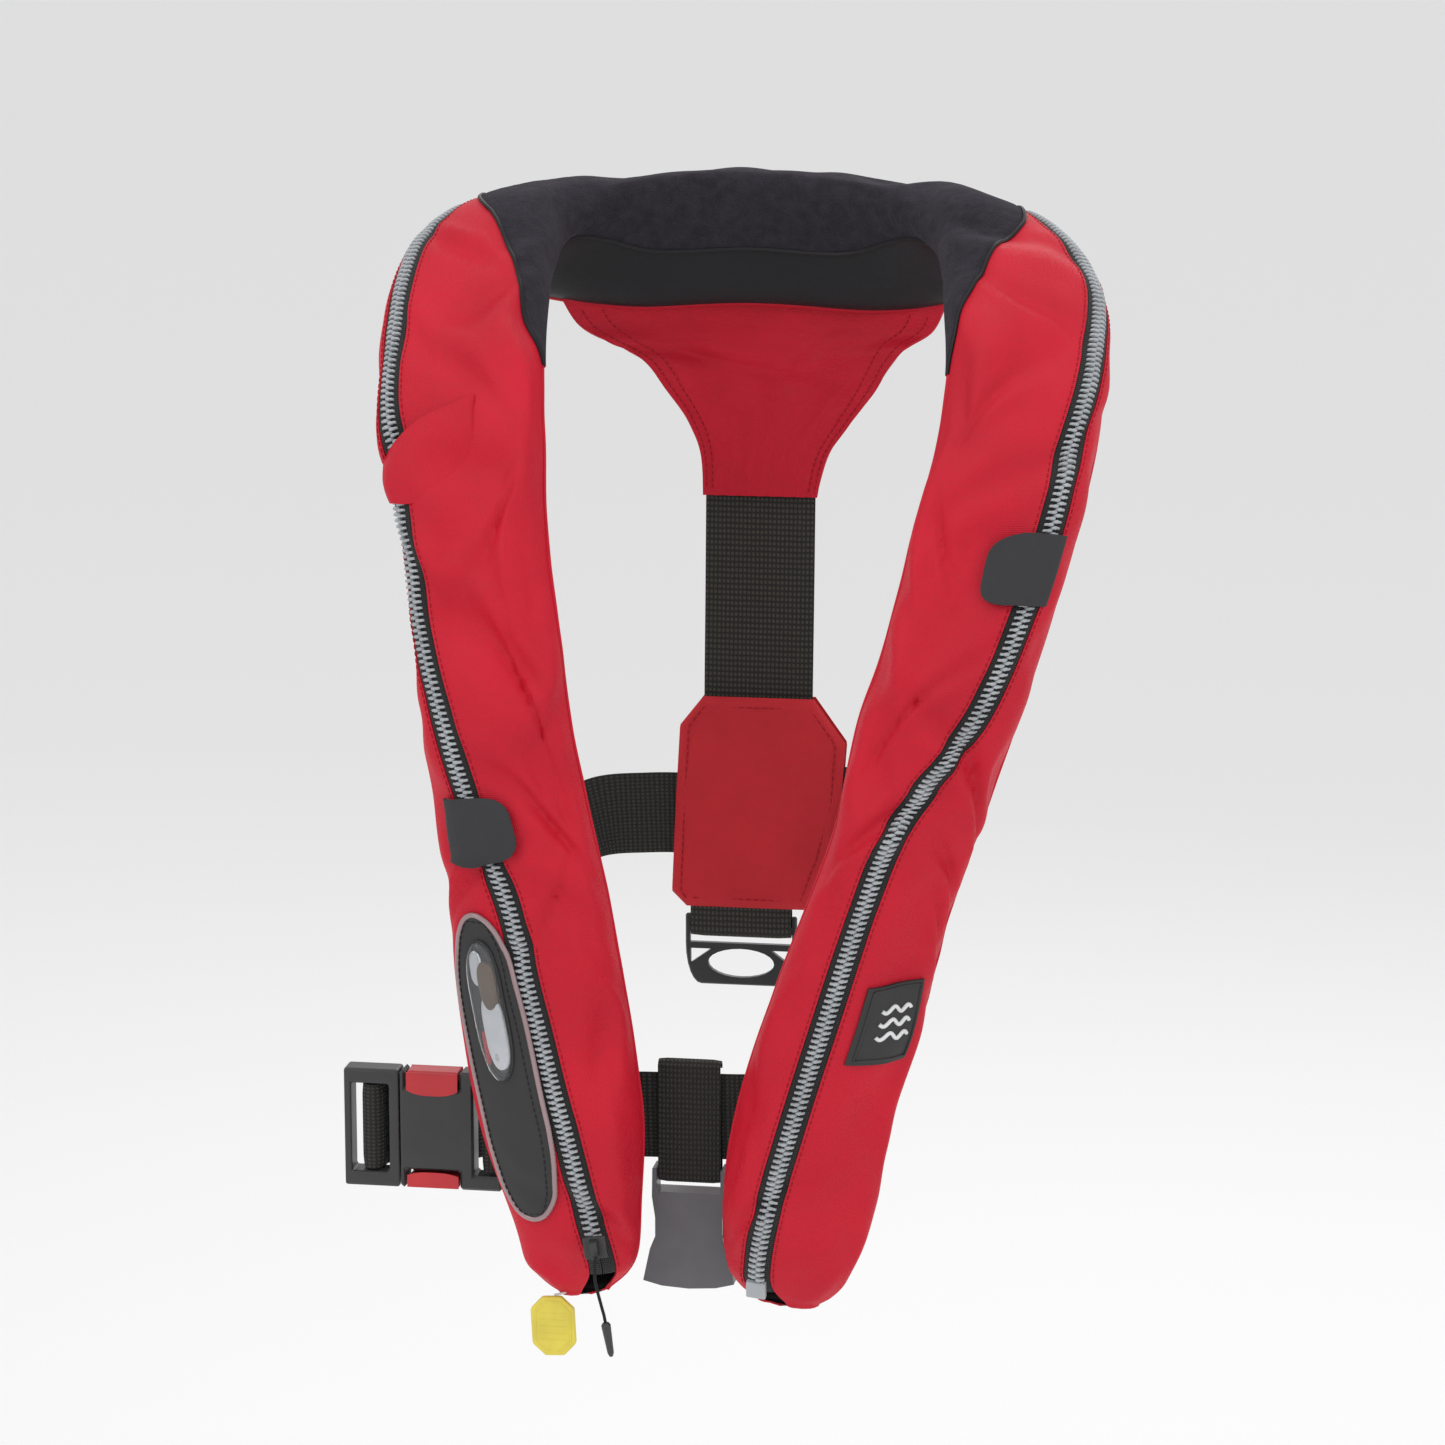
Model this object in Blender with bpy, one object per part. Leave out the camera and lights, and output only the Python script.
"""An inflatable life jacket in its worn shape, as separate sub-parts.

Metres, +Z up. The front faces -Y and +X is the wearer's left. The origin is on the lining at
the nape of the neck. The tables are in millimetres.
"""
import functools
import math

import bmesh
import bpy
import numpy as np
from mathutils import Matrix, Vector

MM = 0.001
GAP = 0.0003
WALL = 0.0012
SQUARENESS = 0.72          # below 1 the cover's section fills out towards a rectangle
BODY_SIDE_DEPTH = 0.80     # the side on the wearer's chest is flatter than the front

# The cover, from the tip of the right lobe over the shoulder, round the neck and down to the
# tip of the left lobe: middle of the inner edge, middle of the outer edge, thickness.
BAND = [
    ((-35, -168, -437), (-57, -164, -441), 9),
    ((-24, -169, -424), (-69, -163, -429), 28),
    ((-21, -170, -396), (-78, -164, -403), 34),
    ((-20, -172, -355), (-91, -164, -363), 38),
    ((-27, -174, -302), (-99, -166, -311), 38),
    ((-34, -176, -260), (-103, -168, -264), 36),
    ((-41, -177, -226), (-108, -168, -232), 35),
    ((-49, -176, -188), (-113, -166, -194), 35),
    ((-55, -172, -150), (-118, -160, -158), 35),
    ((-62, -162, -107), (-125, -148, -115), 35),
    ((-66, -148, -73), (-135, -130, -83), 35),
    ((-70, -130, -41), (-143, -108, -50), 35),
    ((-74, -100, -18), (-145, -84, -22), 35),
    ((-77, -66, 0), (-141, -58, -5), 35),
    ((-76, -38, 14), (-128, -28, 0), 35),
    ((-66, -16, 26), (-104, -3, -19), 34),
    ((-42, -1, 31), (-60, 17, -29), 32),
    ((0, 5, 33), (0, 25, -28), 30),
    ((44, 0, 31), (62, 18, -29), 32),
    ((72, -14, 27), (107, -1, -19), 34),
    ((88, -37, 15), (134, -25, 0), 35),
    ((97, -64, 1), (157, -56, -6), 35),
    ((102, -98, -16), (169, -82, -22), 35),
    ((106, -130, -38), (171, -108, -44), 35),
    ((103, -148, -69), (169, -130, -72), 35),
    ((95, -162, -103), (162, -148, -107), 36),
    ((85, -172, -146), (151, -160, -147), 36),
    ((74, -176, -182), (140, -166, -183), 36),
    ((66, -177, -222), (127, -168, -223), 36),
    ((55, -176, -256), (116, -168, -255), 37),
    ((39, -174, -299), (104, -166, -302), 38),
    ((22, -172, -353), (89, -164, -354), 38),
    ((16, -170, -396), (80, -164, -397), 36),
    ((19, -169, -425), (69, -164, -429), 27),
    ((31, -168, -438), (57, -165, -441), 9),
]
LAST = len(BAND) - 1
# Where the zip crosses the front of each station, from 0 at the inner to 1 at the outer edge.
ZIP_ACROSS = [
    0.20, 0.21, 0.32, 0.40, 0.46, 0.55, 0.65, 0.75, 0.85, 0.91, 0.89, 0.84,
    0.86, 0.87, 0.82, 0.74, 0.64, 0.60, 0.64, 0.74, 0.82, 0.89, 0.90, 0.86,
    0.80, 0.80, 0.77, 0.67, 0.39, 0.35, 0.36, 0.36, 0.30, 0.24, 0.24,
]
RIGHT_END, LEFT_END = 11.3, 22.9        # stations where the fleece collar is sewn to the lobes
ZIP_START, ZIP_STOP = 1.35, 33.0
TEETH_HALF = 0.0030
TAPE_HALF = 0.0072
INNER_EDGE, OUTER_EDGE = -14.0, 194.0   # section angles where cover and lining are sewn
SEAM_GAP = 2.5             # degrees between the cover's edge and the lining's

WEBBING = 0.0016
PAD_FACE = 0.0225                       # y of the back pad's front face
BELT_WIDTH = 0.038
STRAP_WIDTH = 0.051

RED = (0.58, 0.02, 0.05)
PAD_RED = (0.50, 0.035, 0.045)
BUTTON_RED = (0.55, 0.03, 0.05)
FLEECE = (0.025, 0.022, 0.03)
BLACK_CLOTH = (0.012, 0.012, 0.014)
BLACK_WEBBING = (0.012, 0.011, 0.009)
BLACK_PLASTIC = (0.04, 0.04, 0.042)
TOOTH_GREY = (0.38, 0.41, 0.43)
YELLOW = (0.75, 0.60, 0.06)
WHITE = (0.75, 0.75, 0.73)
STEEL = (0.55, 0.56, 0.57)
CLEAR = (0.5, 0.5, 0.52)


def clear_scene():
    for obj in list(bpy.data.objects):
        bpy.data.objects.remove(obj)


def material(name, colour, roughness, metallic=0.0):
    made = bpy.data.materials.new(name)
    made.use_nodes = True
    shader = made.node_tree.nodes["Principled BSDF"]
    shader.inputs["Base Color"].default_value = (*colour, 1.0)
    shader.inputs["Roughness"].default_value = roughness
    shader.inputs["Metallic"].default_value = metallic
    return made


def finish_part(name, mesh_source, colour, roughness=0.7, metallic=0.0, sharp=40.0):
    """Makes a named object of a bmesh, faces out, with its own material."""
    bmesh.ops.recalc_face_normals(mesh_source, faces=mesh_source.faces)
    mesh = bpy.data.meshes.new(name)
    mesh_source.to_mesh(mesh)
    mesh_source.free()
    mesh.shade_smooth()
    mesh.set_sharp_from_angle(angle=math.radians(sharp))
    mesh.materials.append(material(name, colour, roughness, metallic))
    part = bpy.data.objects.new(name, mesh)
    bpy.context.scene.collection.objects.link(part)
    return part


def loft(rings, capped_in_pairs=False):
    """Skins rings of points; a C-shaped ring is capped by quads between its two sides."""
    bm = bmesh.new()
    rows = [[bm.verts.new(point) for point in ring] for ring in rings]
    count = len(rows[0])
    for lower, upper in zip(rows, rows[1:]):
        for i in range(count):
            j = (i + 1) % count
            bm.faces.new((lower[i], lower[j], upper[j], upper[i]))
    for row in (rows[0], rows[-1]):
        if not capped_in_pairs:
            bm.faces.new(row)
            continue
        for i in range(count // 2 - 1):
            bm.faces.new((row[i], row[i + 1], row[count - 2 - i], row[count - 1 - i]))
    return bm


def prism(outline, depth):
    """Extrudes an outline of (x, z) points from y = 0 to y = depth."""
    bm = bmesh.new()
    front = [bm.verts.new((x, 0.0, z)) for x, z in outline]
    face = bm.faces.new(front)
    made = bmesh.ops.extrude_face_region(bm, geom=[face])
    moved = [item for item in made["geom"] if isinstance(item, bmesh.types.BMVert)]
    bmesh.ops.translate(bm, verts=moved, vec=(0.0, depth, 0.0))
    return bm


def box(low, high):
    bm = bmesh.new()
    size = Vector(high) - Vector(low)
    centre = (Vector(high) + Vector(low)) / 2
    place = Matrix.Translation(centre) @ Matrix.Diagonal((*size, 1.0))
    bmesh.ops.create_cube(bm, size=1.0, matrix=place)
    return bm


def turned(profile, start, direction, sides=20):
    """Turns (distance along, radius) points about an axis."""
    axis = Vector(direction).normalized()
    side = axis.orthogonal().normalized()
    other = axis.cross(side)
    rings = []
    for along, radius in profile:
        centre = Vector(start) + axis * along
        angles = [2 * math.pi * i / sides for i in range(sides)]
        rings.append([centre + (side * math.cos(a) + other * math.sin(a)) * radius for a in angles])
    return loft(rings)


def rounded_box(name, low, high, radius, colour, roughness=0.5, segments=2, metallic=0.0):
    part = finish_part(name, box(low, high), colour, roughness, metallic)
    bevel(part, radius, segments)
    return part


def bevel(part, width, segments=2):
    modifier = part.modifiers.new("Bevel", "BEVEL")
    modifier.width = width
    modifier.segments = segments
    modifier.limit_method = "ANGLE"
    modifier.angle_limit = math.radians(35)


def combine(part, bm, operation):
    """Joins a shape to a part, or cuts it out of the part."""
    tool = finish_part(part.name + "_tool", bm, (0.5, 0.5, 0.5))
    tool.hide_render = True
    tool.display_type = "WIRE"
    modifier = part.modifiers.new(operation.title(), "BOOLEAN")
    modifier.operation = operation
    modifier.object = tool
    tool.parent = part
    return tool


def spline(values, u):
    """A smooth curve through equally spaced values, at station u."""
    table = np.asarray(values, dtype=float)
    i = min(int(math.floor(u)), len(table) - 2)
    t = u - i
    before = table[max(i - 1, 0)]
    here, after = table[i], table[i + 1]
    beyond = table[min(i + 2, len(table) - 1)]
    slope = after - before
    curve = 2 * before - 5 * here + 4 * after - beyond
    cubic = 3 * here - before - 3 * after + beyond
    return here + 0.5 * t * (slope + t * (curve + t * cubic))


INNER = [station[0] for station in BAND]
OUTER = [station[1] for station in BAND]
THICK = [station[2] for station in BAND]


@functools.lru_cache(maxsize=None)
def band_frame(u):
    """Middle, outward direction, front normal, half width and half thickness at station u."""
    inner = Vector(spline(INNER, u)) * MM
    outer = Vector(spline(OUTER, u)) * MM
    low, high = max(u - 0.25, 0.0), min(u + 0.25, float(LAST))
    behind = Vector(spline(INNER, low)) + Vector(spline(OUTER, low))
    ahead = Vector(spline(INNER, high)) + Vector(spline(OUTER, high))
    outward = (outer - inner).normalized()
    normal = (ahead - behind).cross(outward).normalized()
    half_width = (outer - inner).length / 2
    half_thick = float(spline(THICK, u)) * MM / 2
    return (inner + outer) / 2, outward, normal, half_width, half_thick


def rounded(value):
    return math.copysign(abs(value) ** SQUARENESS, value)


def band_point(u, angle, lift=0.0):
    """A point of the cover: angle 0 is the inner edge, 90 the front, 180 the outer edge."""
    middle, outward, normal, half_width, half_thick = band_frame(u)
    cosine, sine = math.cos(math.radians(angle)), math.sin(math.radians(angle))
    depth = half_thick if sine > 0 else half_thick * BODY_SIDE_DEPTH
    across = -rounded(cosine) * (half_width + lift)
    out = rounded(sine) * (depth + lift)
    return middle + outward * across + normal * out


def zip_angle(u):
    across = 1 - 2 * float(spline(ZIP_ACROSS, u))
    return math.degrees(math.acos(math.copysign(abs(across) ** (1 / SQUARENESS), across)))


def zip_frame(u):
    """A point on the zip's line, the direction across it towards the outer edge, its normal."""
    angle = zip_angle(u)
    point = band_point(u, angle)
    across = (band_point(u, angle + 3) - band_point(u, angle - 3)).normalized()
    along = band_point(min(u + 0.1, LAST), zip_angle(min(u + 0.1, LAST))) - point
    if u + 0.1 > LAST:
        along = point - band_point(u - 0.1, zip_angle(u - 0.1))
    return point, across, along.cross(across).normalized()


def zip_edge_angle(u, side):
    """The section angle where a cover panel ends beside the zip tape."""
    angle = zip_angle(u)
    here = band_point(u, angle)
    walked = 0.0
    while walked < TAPE_HALF + 4 * GAP:
        angle += side
        there = band_point(u, angle)
        walked += (there - here).length
        here = there
    return angle


def stations(start, stop, per_station=2):
    """Both ends, and every whole fraction of a station between them."""
    first, last = math.floor(start * per_station) + 1, math.ceil(stop * per_station) - 1
    inside = [i / per_station for i in range(first, last + 1)]
    inside = [u for u in inside if start + 0.12 < u < stop - 0.12]
    return [start, *inside, stop]


def shell(name, start, stop, first, last, colour, arc=6, roughness=0.8):
    """A panel of the cover between two stations and between two section angles."""
    rings = []
    for u in stations(start, stop):
        angles = [first(u) + (last(u) - first(u)) * i / arc for i in range(arc + 1)]
        outside = [band_point(u, a) for a in angles]
        inside = [band_point(u, a, -WALL) for a in reversed(angles)]
        rings.append(outside + inside)
    return finish_part(name, loft(rings, capped_in_pairs=True), colour, roughness)


def cover_panels():
    inner_seam, outer_seam = (lambda u: INNER_EDGE), (lambda u: OUTER_EDGE)
    at_zip_inner = lambda u: zip_edge_angle(u, -1)
    at_zip_outer = lambda u: zip_edge_angle(u, 1)
    seam = 0.02
    tip = 0.35
    for side, start, stop in (
        ("right_lobe", tip, RIGHT_END - seam),
        ("left_lobe", LEFT_END + seam, LAST - tip),
    ):
        shell(side + "_inner_panel", start, stop, inner_seam, at_zip_inner, RED)
        shell(side + "_outer_panel", start, stop, at_zip_outer, outer_seam, RED)
    shell("neck_fleece", RIGHT_END, LEFT_END, inner_seam, at_zip_inner, FLEECE, roughness=1.0)
    shell("collar_outer_panel", RIGHT_END, LEFT_END, at_zip_outer, outer_seam, RED)


def linings():
    """The black cloth on the wearer's side, from the outer edge round to the inner edge."""
    first = lambda u: OUTER_EDGE + SEAM_GAP
    last = lambda u: 360 + INNER_EDGE - SEAM_GAP
    for name, start, stop in (
        ("right_lobe_lining", 0.35, RIGHT_END - 0.02),
        ("collar_lining", RIGHT_END, LEFT_END),
        ("left_lobe_lining", LEFT_END + 0.02, LAST - 0.35),
    ):
        shell(name, start, stop, first, last, BLACK_CLOTH, arc=5)


def bladder_top(u):
    """How high the folded bladder fills the cover: low where the inflator or the tube lies."""
    free = min(abs(u - 4.6) - 2.7, abs(u - 30.5) - 1.9)
    share = min(max(free / 1.2, 0.0), 1.0)
    return -0.36 + 0.78 * share * share * (3 - 2 * share)


def bladder():
    rings = []
    for u in stations(1.6, LAST - 1.2):
        middle, outward, normal, half_width, half_thick = band_frame(u)
        low, high = -0.56, bladder_top(u)
        half, centre = (high - low) / 2, (high + low) / 2
        ring = []
        for i in range(12):
            angle = 2 * math.pi * i / 12
            across = rounded(math.cos(angle)) * half_width * 0.72
            out = (centre + rounded(math.sin(angle)) * half) * half_thick
            ring.append(middle + outward * across + normal * out)
        rings.append(ring)
    finish_part("bladder", loft(rings), YELLOW, 0.6)


def zip_strip(name, near, far, low, high, colour, roughness):
    """A bar along the zip between two distances from its middle and two heights."""
    rings = []
    for u in stations(ZIP_START, ZIP_STOP):
        point, across, normal = zip_frame(u)
        corners = ((near, low), (far, low), (far, high), (near, high))
        rings.append([point + across * x + normal * z for x, z in corners])
    finish_part(name, loft(rings), colour, roughness)


def zip_fastener():
    tape = (TEETH_HALF + GAP, TAPE_HALF, -0.0008, 0.0)
    teeth = (GAP, TEETH_HALF, -0.0010, 0.0016)
    zip_strip("zip_tape_outer", *tape, BLACK_CLOTH, 0.8)
    zip_strip("zip_tape_inner", -tape[1], -tape[0], tape[2], tape[3], BLACK_CLOTH, 0.8)
    zip_strip("zip_teeth_outer", *teeth, TOOTH_GREY, 0.45)
    zip_strip("zip_teeth_inner", -teeth[1], -teeth[0], teeth[2], teeth[3], TOOTH_GREY, 0.45)


def on_zip(u):
    """A placement on the zip: X across it, Y down along it, Z out of the cover."""
    point, across, normal = zip_frame(u)
    down = normal.cross(across)
    basis = Matrix((across, down, normal)).transposed().to_4x4()
    return Matrix.Translation(point) @ basis


def patch(name, start, stop, first, last, low, high, colour, roughness=0.6, arc=5, per_station=4):
    """A sheet that lies over the cover, between two lifts above it."""
    rings = []
    for u in stations(start, stop, per_station):
        angles = [first(u) + (last(u) - first(u)) * i / arc for i in range(arc + 1)]
        top = [band_point(u, a, high) for a in angles]
        bottom = [band_point(u, a, low) for a in reversed(angles)]
        rings.append(top + bottom)
    return finish_part(name, loft(rings, capped_in_pairs=True), colour, roughness)


WINDOW_START, WINDOW_STOP = 2.02, 4.88
LENS_START, LENS_STOP = 3.30, 4.60


def oval_share(u, start, stop):
    """Half width of a long rounded outline, as a share of its widest."""
    t = abs(2 * (u - start) / (stop - start) - 1)
    return math.sqrt(max(1 - t ** 4, 0.03))


def window():
    def middle_and_half(u):
        near = zip_edge_angle(u, 1) + 7
        far = 174.0
        return (near + far) / 2, (far - near) / 2 * oval_share(u, WINDOW_START, WINDOW_STOP)

    def lens_middle_and_half(u):
        middle, _ = middle_and_half(u)
        return middle - 2, 20 * oval_share(u, LENS_START, LENS_STOP)

    for name, start, stop, span, low, high, colour, roughness in (
        ("window_panel", WINDOW_START, WINDOW_STOP, middle_and_half, 0.0005, 0.0016,
         BLACK_CLOTH, 0.5),
        ("window_lens", LENS_START, LENS_STOP, lens_middle_and_half, 0.0021, 0.0029,
         CLEAR, 0.1),
    ):
        patch(
            name, start, stop,
            lambda u, span=span: span(u)[0] - span(u)[1],
            lambda u, span=span: span(u)[0] + span(u)[1],
            low, high, colour, roughness,
        )


def badge():
    patch(
        "badge_patch", 29.80, 30.46, lambda u: 94.0, lambda u: 150.0,
        0.0005, 0.0022, BLACK_CLOTH, 0.5,
    )


# Closure tabs: name, first and last station, angle at the sewn root, angle at the free end.
TABS = (
    ("right_closure_tab", 5.62, 6.36, 126.0, 84.0),
    ("left_closure_tab", 24.98, 25.62, 134.0, 88.0),
)


def closure_tabs():
    for name, start, stop, root, free in TABS:
        def tip(u, start=start, stop=stop, root=root, free=free):
            t = abs(2 * (u - start) / (stop - start) - 1)
            return free + (root - free) * 0.30 * (1 - math.sqrt(max(1 - t ** 3, 0)))

        patch(name, start, stop, tip, lambda u, root=root: root, 0.0026, 0.0040,
              BLACK_WEBBING, 0.9)


SLIDER_STATION = 1.56
SLIDER_LIFT = 0.0026


def slider_frame():
    return on_zip(SLIDER_STATION)


def zip_slider():
    """The slider's top plate with its bridge, and the box at the zip's other end."""
    slider = finish_part(
        "zip_slider", box((-0.0050, -0.0052, SLIDER_LIFT), (0.0050, 0.0052, SLIDER_LIFT + 0.0020)),
        BLACK_PLASTIC, 0.4,
    )
    bevel(slider, 0.0007)
    posts = [
        box((-0.0016, y, SLIDER_LIFT + 0.0014), (0.0016, y + 0.0016, SLIDER_LIFT + 0.0050))
        for y in (-0.0040, 0.0024)
    ]
    bridge = box((-0.0016, -0.0040, SLIDER_LIFT + 0.0042), (0.0016, 0.0040, SLIDER_LIFT + 0.0056))
    for bm in [*posts, bridge]:
        combine(slider, bm, "UNION").matrix_world = Matrix()
    slider.matrix_world = slider_frame()
    stop = finish_part("zip_stop", box((-0.0043, -0.0085, -0.0008), (0.0043, 0.0, 0.0022)),
                       TOOTH_GREY, 0.4)
    bevel(stop, 0.0006)
    stop.matrix_world = on_zip(ZIP_STOP + 0.01)


def smooth_route(points, count):
    """Evenly spaced points on the smooth curve through a route's own points."""
    last = len(points) - 1
    dense = [Vector(spline(points, last * i / 400)) * MM for i in range(401)]
    lengths = [0.0]
    for here, there in zip(dense, dense[1:]):
        lengths.append(lengths[-1] + (there - here).length)
    wanted = np.linspace(0.0, lengths[-1], count)
    columns = [np.interp(wanted, lengths, [point[k] for point in dense]) for k in range(3)]
    return [Vector(point) for point in zip(*columns)]


def cord(name, points, diameter, count, colour):
    curve = bpy.data.curves.new(name, "CURVE")
    curve.dimensions = "3D"
    curve.bevel_depth = diameter / 2
    curve.bevel_resolution = 2
    curve.use_fill_caps = True
    run = curve.splines.new("POLY")
    route = smooth_route(points, count)
    run.points.add(len(route) - 1)
    for target, point in zip(run.points, route):
        target.co = (*point, 1.0)
    curve.materials.append(material(name, colour, 0.8))
    part = bpy.data.objects.new(name, curve)
    bpy.context.scene.collection.objects.link(part)
    return part


ZIP_CORD_ROUTE = [
    (-35.6, -192.9, -414.8), (-35.9, -193.8, -418.0), (-36.0, -193.9, -421.5),
    (-35.9, -193.6, -425.0), (-35.4, -193.0, -428.5), (-34.8, -192.3, -432.0),
    (-34.1, -191.5, -435.5), (-33.4, -190.8, -439.0), (-32.7, -190.2, -442.2),
    (-32.2, -189.8, -445.4),
]
ZIP_CORD_DIAMETER = 0.0014
PULL_END_TOP = (-32.1, -189.7, -445.8)
PULL_END_TIP = (-29.8, -189.0, -461.0)

LANYARD_ROUTE = [
    (-58.5, -172.0, -335.5), (-58.4, -172.0, -341.0), (-58.1, -172.0, -349.0),
    (-57.6, -171.9, -359.0), (-56.9, -171.7, -371.0), (-56.0, -171.4, -384.0),
    (-55.0, -171.0, -397.0), (-54.0, -170.4, -408.0), (-53.1, -169.8, -417.0),
    (-52.3, -169.3, -425.0), (-51.7, -168.8, -431.0), (-51.4, -168.5, -436.0),
    (-52.6, -168.4, -439.6), (-55.6, -168.4, -441.0), (-58.8, -168.4, -441.8),
]
LANYARD_DIAMETER = 0.0010
TAB_TOP = (-59.5, -168.4, -442.4)
TAB_SIZE = (0.0195, 0.0030, 0.0270)


def pulls():
    """The cord and end on the zip slider, and the lanyard and tab that fire the inflator."""
    cord("zip_pull_cord", ZIP_CORD_ROUTE, ZIP_CORD_DIAMETER, 18, BLACK_WEBBING)
    start, tip = Vector(PULL_END_TOP) * MM, Vector(PULL_END_TIP) * MM
    length = (tip - start).length
    profile = [(0.0, 0.0015), (0.001, 0.0021), (length - 0.0015, 0.0014), (length, 0.0008)]
    finish_part("zip_pull_end", turned(profile, start, tip - start, 12), BLACK_PLASTIC, 0.5)
    cord("pull_lanyard", LANYARD_ROUTE, LANYARD_DIAMETER, 36, WHITE)
    width, thickness, height = TAB_SIZE
    corner = 0.0055
    half = width / 2
    outline = [
        (-half + corner, 0), (half - corner, 0), (half, -corner), (half, corner - height),
        (half - corner, -height), (-half + corner, -height), (-half, corner - height),
        (-half, -corner),
    ]
    tab = finish_part("pull_tab", prism(outline, thickness), YELLOW, 0.5)
    bevel(tab, 0.0009)
    tab.matrix_world = Matrix.Translation(
        Vector(TAB_TOP) * MM + Vector((-0.0004, -thickness / 2, 0.0))
    ) @ Matrix.Rotation(math.radians(-3), 4, "Y")


INFLATOR_LOW = (-0.0920, -0.1790, -0.326)
INFLATOR_HIGH = (-0.0670, -0.1675, -0.288)
LEVER_PIVOT = (-0.0860, -0.1720, -0.3305)
LEVER_LENGTH = 0.0290
LEVER_HALF_DEPTH, LEVER_HALF_HEIGHT = 0.0017, 0.0025


def inflator():
    rounded_box("inflator_body", INFLATOR_LOW, INFLATOR_HIGH, 0.003, WHITE, 0.35)
    x = -0.0805
    profile = [(0.0, 0.004), (0.007, 0.0042), (0.014, 0.0090), (0.074, 0.0090),
               (0.081, 0.0070), (0.084, 0.0035)]
    start = (x, -0.1765, INFLATOR_HIGH[2] + GAP)
    finish_part("gas_cylinder", turned(profile, start, (-0.02, 0.0, 1.0)), STEEL, 0.35, 1.0)
    cap_profile = [(0.0, 0.0055), (0.006, 0.0055), (0.0075, 0.0045)]
    start = (INFLATOR_HIGH[0] + GAP, -0.1735, -0.302)
    finish_part("water_sensor_cap", turned(cap_profile, start, (1, 0, 0)), BLACK_PLASTIC, 0.4)
    x, y, z = LEVER_PIVOT
    rounded_box("firing_lever", (x - 0.0020, y - LEVER_HALF_DEPTH, z - LEVER_HALF_HEIGHT),
                (x + LEVER_LENGTH, y + LEVER_HALF_DEPTH, z + LEVER_HALF_HEIGHT), 0.0008,
                BLACK_PLASTIC, 0.45)


def oral_tube_and_whistle():
    start = Vector((0.0600, -0.1735, -0.342))
    direction = Vector((0.26, -0.02, 1.0)).normalized()
    finish_part("oral_tube", turned([(0.0, 0.005), (0.066, 0.005)], start, direction),
                BLACK_PLASTIC, 0.6)
    cap_start = start + direction * (0.066 + GAP)
    profile = [(0.0, 0.0060), (0.011, 0.0060), (0.014, 0.0045)]
    finish_part("oral_tube_cap", turned(profile, cap_start, direction), YELLOW, 0.5)
    rounded_box("whistle", (0.030, -0.1790, -0.398), (0.044, -0.1690, -0.362), 0.002,
                YELLOW, 0.4)


# Back harness: rows of the yoke as z, left x, right x, y at the ends, y in the middle.
YOKE_ROWS = (
    (-38, -79, 84, 7, 27), (-46, -66, 72, 10, 25.5), (-55, -50, 64, 14, 24.5),
    (-68, -41, 56, 18, 24.5), (-84, -30, 44, 22, 24.5), (-99, -25, 34, 24, 24.5),
    (-116, -24, 29, 24.5, 24.5),
)
YOKE_SAG = 4            # how much higher the middle of the first row reaches
YOKE_HALF_THICK = 0.0011


def back_yoke():
    rings = []
    columns = 14
    for row, (z, left, right, end_y, mid_y) in enumerate(YOKE_ROWS):
        front, back = [], []
        lift = YOKE_SAG * max(1 - row / 2, 0)
        for i in range(columns + 1):
            share = i / columns
            bow = 1 - (2 * share - 1) ** 2
            x = left + (right - left) * share
            y = (end_y + (mid_y - end_y) * bow) * MM
            height = (z + lift * bow) * MM
            front.append(Vector((x * MM, y - YOKE_HALF_THICK, height)))
            back.append(Vector((x * MM, y + YOKE_HALF_THICK, height)))
        rings.append(front + list(reversed(back)))
    finish_part("back_yoke", loft(rings, capped_in_pairs=True), RED, 0.8)


def webbing(name, points, width, up=(0, 0, 1), per_leg=2):
    """A flat strap along a smooth route, as wide as stated along the up direction."""
    last = (len(points) - 1) * per_leg
    route = [Vector(spline(points, i / per_leg)) * MM for i in range(last + 1)]
    rings = []
    for i, point in enumerate(route):
        along = (route[min(i + 1, last)] - route[max(i - 1, 0)]).normalized()
        upward = Vector(up)
        across = (upward - along * along.dot(upward)).normalized()
        normal = along.cross(across)
        corners = ((-1, -1), (1, -1), (1, 1), (-1, 1))
        rings.append([point + across * a * width / 2 + normal * n * WEBBING / 2
                      for a, n in corners])
    return finish_part(name, loft(rings), BLACK_WEBBING, 0.9)


PAD_OUTLINE = (
    (-24, -213), (28, -213), (43, -234), (41, -262), (34, -290), (25, -314), (-32, -314),
    (-39, -307), (-37, -262), (-35, -227),
)
PAD_LAYER = 0.0022


def back_pad():
    outline = [(x * MM, z * MM) for x, z in PAD_OUTLINE]
    for name, y in (("back_pad_front", PAD_FACE), ("back_pad_rear", PAD_FACE + 0.0078)):
        pad = finish_part(name, prism(list(reversed(outline)), PAD_LAYER), PAD_RED, 0.8)
        pad.location = (0.0, y, 0.0)


RING_CENTRE_X = -6.5
RING_HALF = 26.5
BAR_Z, BAR_HALF = -325.5, 1.4


def stadium_loop(centre, reach, half_gap, turn):
    """Hand-sized route of a strap folded round a bar: straight, round the turn, straight."""
    steps = 8
    straight = [(0.0, half_gap), (reach * 0.5, half_gap)]
    arc = [
        (reach + half_gap * math.sin(math.pi * i / steps), half_gap * math.cos(math.pi * i / steps))
        for i in range(steps + 1)
    ]
    back = [(reach * 0.5, -half_gap), (0.0, -half_gap)]
    return [turn(centre, along, out) for along, out in straight + arc + back]


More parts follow.
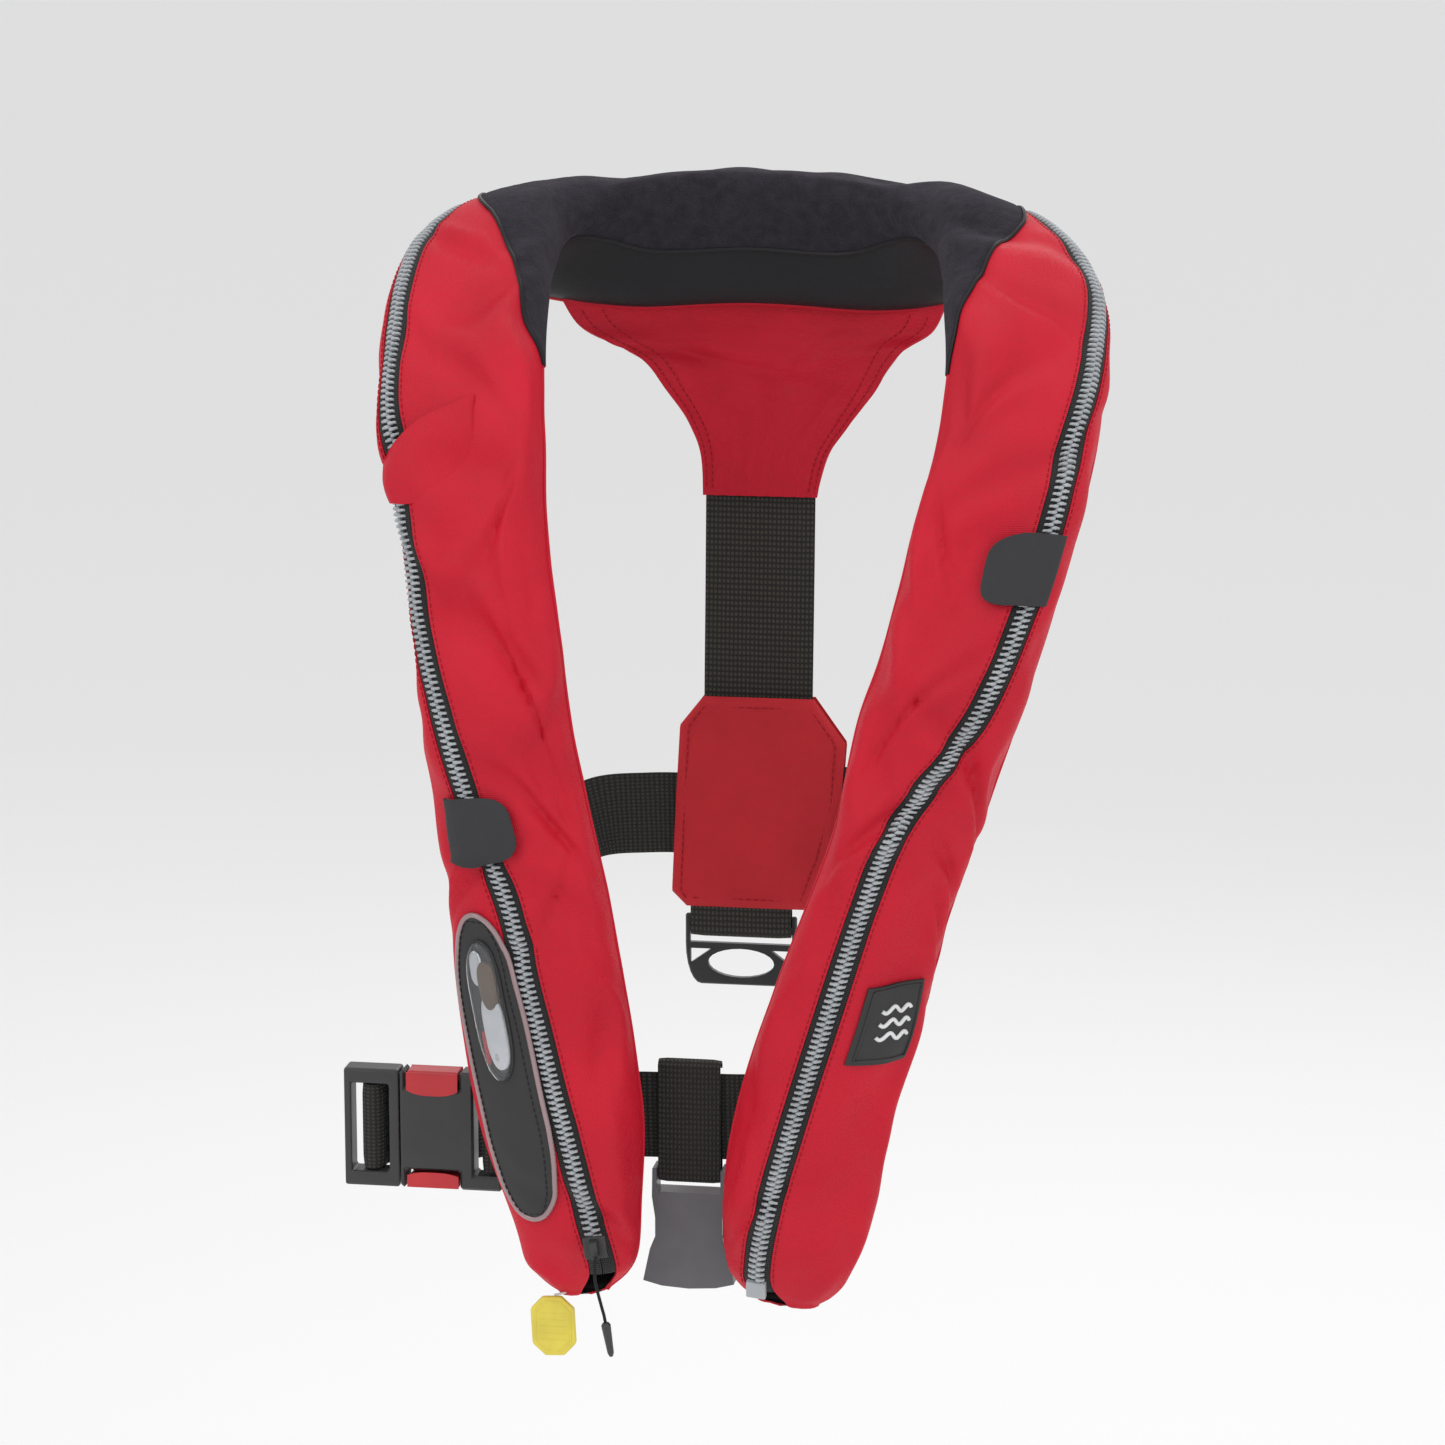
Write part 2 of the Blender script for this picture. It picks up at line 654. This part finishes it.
def crotch_ring():
    """The moulded ring for the crotch strap, and the webbing that carries it."""
    x, half = RING_CENTRE_X * MM, RING_HALF * MM
    y = (PAD_FACE + 0.0056)
    thick = 0.0028
    top, shoulder, low = -0.3185, -0.333, -0.3525
    steps = 6
    outline = [(x - half, shoulder), (x - half, top), (x + half, top), (x + half, shoulder)]
    for i in range(1, steps + 1):
        angle = math.pi / 2 * i / steps
        reach = (half - 0.0075) + 0.0075 * math.cos(angle)
        outline.append((x + reach, shoulder + (low - shoulder) * math.sin(angle)))
    for i in range(steps, 0, -1):
        angle = math.pi / 2 * i / steps
        reach = (half - 0.0075) + 0.0075 * math.cos(angle)
        outline.append((x - reach, shoulder + (low - shoulder) * math.sin(angle)))
    ring = finish_part("crotch_ring", prism(outline, thick), BLACK_PLASTIC, 0.45)
    ring.location = (0.0, y - thick / 2, 0.0)
    bevel(ring, 0.0007, 1)
    bar_low = (BAR_Z - BAR_HALF) * MM
    slot = box((x - half + 0.0022, -0.001, -0.3322), (x + half - 0.0022, thick + 0.001, bar_low))
    combine(ring, slot, "DIFFERENCE")
    above = box((x - half + 0.0022, -0.001, (BAR_Z + BAR_HALF) * MM),
                (x + half - 0.0022, thick + 0.001, top + 0.001))
    combine(ring, above, "DIFFERENCE")
    oval = []
    for i in range(24):
        angle = 2 * math.pi * i / 24
        oval.append((x + 0.0158 * math.cos(angle), -0.3418 + 0.0070 * math.sin(angle)))
    hole = prism(oval, thick + 0.002)
    bmesh.ops.translate(hole, verts=hole.verts, vec=(0.0, -0.001, 0.0))
    combine(ring, hole, "DIFFERENCE")
    for side in (-1, 1):
        edge = x + side * (half - 0.0024)
        corner = [(edge, -0.3352), (edge - side * 0.0100, -0.3352), (edge, -0.3425)]
        gap = prism(corner, thick + 0.002)
        bmesh.ops.translate(gap, verts=gap.verts, vec=(0.0, -0.001, 0.0))
        combine(ring, gap, "DIFFERENCE")

    def turn(centre, along, out):
        return centre[0], centre[1] + out, centre[2] - along

    loop = stadium_loop((RING_CENTRE_X, y / MM, -314.5), 11.0, 2.9, turn)
    webbing("ring_webbing", loop, 0.0475, up=(1, 0, 0), per_leg=1)


def back_straps():
    webbing("back_strap", [(2.5, 27.8, -117), (2.0, 27.9, -165), (1.5, 28.0, -213), (1.5, 28.1, -236)],
            STRAP_WIDTH, up=(1, 0, 0))
    webbing("waist_belt_right", RIGHT_BELT, BELT_WIDTH)
    webbing("waist_belt_left", LEFT_BELT, BELT_WIDTH)


RIGHT_BELT = [
    (-22, 28.2, -270), (-50, 28.0, -270.5), (-76, 22, -273), (-92, 2, -284),
    (-98, -30, -308), (-100, -66, -338), (-101, -96, -362), (-101, -112, -376),
]
LEFT_BELT = [
    (24, 28.2, -264), (46, 27.0, -265), (68, 15, -270), (82, -10, -283), (86, -48, -305),
    (81, -88, -330), (71, -122, -349), (58, -140, -358), (40, -146.8, -362),
    (22, -147, -363.5), (-2, -147, -364), (-26, -147, -364.5), (-46, -146, -367),
    (-64, -141.5, -372), (-80, -137.0, -377), (-88, -136.0, -379), (-93.5, -136.0, -379),
    (-96.2, -134.8, -379), (-96.8, -133.0, -379), (-96.2, -131.2, -379),
    (-93.5, -130.0, -379), (-86, -130.0, -379),
]
BUCKLE_Y, BUCKLE_Z = -0.1330, -0.3790
BUCKLE_HALF_HEIGHT = 0.0270
BUCKLE_HALF_THICK = 0.0058
PLUG_LEFT, PLUG_FACE = -0.1590, -0.1342
SOCKET_LEFT, SOCKET_RIGHT = -0.1335, -0.0880
PLUG_LOOP = [
    (-101.6, -113, -377), (-112, -117.2, -379), (-126, -119.4, -379), (-139, -121.2, -379),
    (-146, -123.0, -379), (-150.2, -127.0, -379), (-151.2, -132.0, -379),
    (-149.6, -136.2, -379), (-146.6, -137.4, -379), (-143.8, -136.0, -379),
    (-142.6, -132.0, -379), (-141.4, -127.6, -379), (-137.0, -124.8, -379),
    (-128.0, -123.6, -379), (-116.0, -122.8, -379),
]


def buckle_box(x_low, x_high, z_low, z_high, half_y=BUCKLE_HALF_THICK):
    """A box in the waist buckle, given by its x range and its height above the middle."""
    return box(
        (x_low, BUCKLE_Y - half_y, BUCKLE_Z + z_low), (x_high, BUCKLE_Y + half_y, BUCKLE_Z + z_high)
    )


def waist_buckle():
    """Plug, socket and the two squeeze buttons of the waist belt's buckle."""
    half = BUCKLE_HALF_HEIGHT
    through = BUCKLE_HALF_THICK * 2
    plug = finish_part("waist_buckle_plug", buckle_box(PLUG_LEFT, PLUG_FACE, -half, half),
                       BLACK_PLASTIC, 0.45)
    combine(plug, buckle_box(-0.1558, -0.1388, -0.0202, 0.0202, through), "DIFFERENCE")
    combine(plug, buckle_box(-0.1484, -0.1458, -0.0210, 0.0210, 0.0013), "UNION")
    for z in (-0.0125, 0.0125):
        combine(plug, buckle_box(PLUG_FACE - 0.001, -0.1150, z - 0.004, z + 0.004, 0.0026), "UNION")
    bevel(plug, 0.0012, 2)
    webbing("plug_webbing", PLUG_LOOP, BELT_WIDTH)
    socket = finish_part("waist_buckle_socket",
                         buckle_box(SOCKET_LEFT, SOCKET_RIGHT, -half, half), BLACK_PLASTIC, 0.45)
    combine(socket, buckle_box(SOCKET_LEFT - 0.001, -0.1120, -0.0178, 0.0178, 0.0036), "DIFFERENCE")
    for side in (-1, 1):
        z_low, z_high = sorted((side * 0.0186, side * 0.0300))
        combine(socket, buckle_box(-0.1312, -0.1068, z_low, z_high, through), "DIFFERENCE")
    combine(socket, buckle_box(-0.1005, -0.0930, -0.0204, 0.0204, through), "DIFFERENCE")
    front = BUCKLE_HALF_THICK * 0.5 + BUCKLE_HALF_THICK
    for y_side in (-1, 1):
        low = min(y_side * 0.0012, y_side * front)
        high = max(y_side * 0.0012, y_side * front)
        cut = box((-0.0950, BUCKLE_Y + low, BUCKLE_Z - 0.0204), (-0.0860, BUCKLE_Y + high, BUCKLE_Z + 0.0204))
        combine(socket, cut, "DIFFERENCE")
    bevel(socket, 0.0012, 1)
    for name, side in (("upper_buckle_button", 1), ("lower_buckle_button", -1)):
        z_low, z_high = sorted((side * 0.0216, side * 0.0268))
        button = finish_part(name, buckle_box(-0.1306, -0.1074, z_low, z_high, 0.0054),
                             BUTTON_RED, 0.4)
        bevel(button, 0.0012, 2)


CROTCH_X, CROTCH_Y = -0.0020, -0.1470
CROTCH_BAR_Z = -0.3905
CROTCH_OUTLINE = (
    (16.0, -387.0), (16.2, -400.0), (14.8, -409.5), (14.8, -418.0), (17.2, -424.0),
    (20.2, -438.5), (12.0, -440.6), (0.0, -441.4),
)


def crotch_buckle():
    """The socket of the crotch strap's buckle, hanging in a loop of webbing on the belt."""
    right = [(x * MM, z * MM) for x, z in CROTCH_OUTLINE]
    outline = right + [(-x, z) for x, z in reversed(right[:-1])]
    thick = 0.0112
    socket = finish_part("crotch_buckle", prism(outline, thick), BLACK_PLASTIC, 0.4)
    socket.location = (CROTCH_X, CROTCH_Y - thick / 2, 0.0)

    def cut(x_low, y_low, z_low, x_high, y_high, z_high):
        middle = thick / 2
        combine(socket, box((x_low, middle + y_low, z_low), (x_high, middle + y_high, z_high)),
                "DIFFERENCE")

    bar_low = CROTCH_BAR_Z - 0.0013
    cut(-0.0141, -thick, -0.3976, 0.0141, thick, bar_low)
    for side in (-1, 1):
        low, high = sorted((side * 0.0013, side * thick))
        cut(-0.0141, low, bar_low - 0.001, 0.0141, high, -0.3860)
    cut(-0.0141, -thick, CROTCH_BAR_Z + 0.0013, 0.0141, thick, -0.3860)
    cut(-0.0132, -0.0034, -0.4430, 0.0132, 0.0034, -0.4030)
    for side in (-1, 1):
        low, high = sorted((side * 0.0120, side * 0.0200))
        cut(low, -0.0030, -0.4180, high, 0.0030, -0.4095)
    bevel(socket, 0.0010, 1)

    closed = []
    half_gap, top, bottom = 2.9, -342.0, CROTCH_BAR_Z / MM
    steps = 8
    for i in range(steps + 1):
        angle = math.pi * i / steps
        closed.append((-math.cos(angle) * half_gap, top + math.sin(angle) * half_gap))
    for i in range(steps + 1):
        angle = math.pi * i / steps
        closed.append((math.cos(angle) * half_gap, bottom - math.sin(angle) * half_gap))
    rings = []
    half_width = 0.0135
    for y, z in closed:
        middle_z = top if z > top - 0.001 else bottom
        out = Vector((0.0, y, z - middle_z)).normalized()
        centre = Vector((CROTCH_X, CROTCH_Y + y * MM, z * MM))
        rings.append([
            centre + Vector((side * half_width, 0, 0)) + out * lift * WEBBING / 2
            for side, lift in ((-1, -1), (1, -1), (1, 1), (-1, 1))
        ])
    bm = bmesh.new()
    rows = [[bm.verts.new(point) for point in ring] for ring in rings]
    for row, following in zip(rows, rows[1:] + rows[:1]):
        for i in range(4):
            bm.faces.new((row[i], row[(i + 1) % 4], following[(i + 1) % 4], following[i]))
    finish_part("crotch_webbing", bm, BLACK_WEBBING, 0.9)


BUILD_STEPS = (
    cover_panels, linings, bladder, zip_fastener, window, badge, closure_tabs, zip_slider, pulls,
    inflator, oral_tube_and_whistle, back_yoke, back_pad, crotch_ring, back_straps, waist_buckle,
    crotch_buckle,
)


def main():
    clear_scene()
    for step in BUILD_STEPS:
        step()


main()
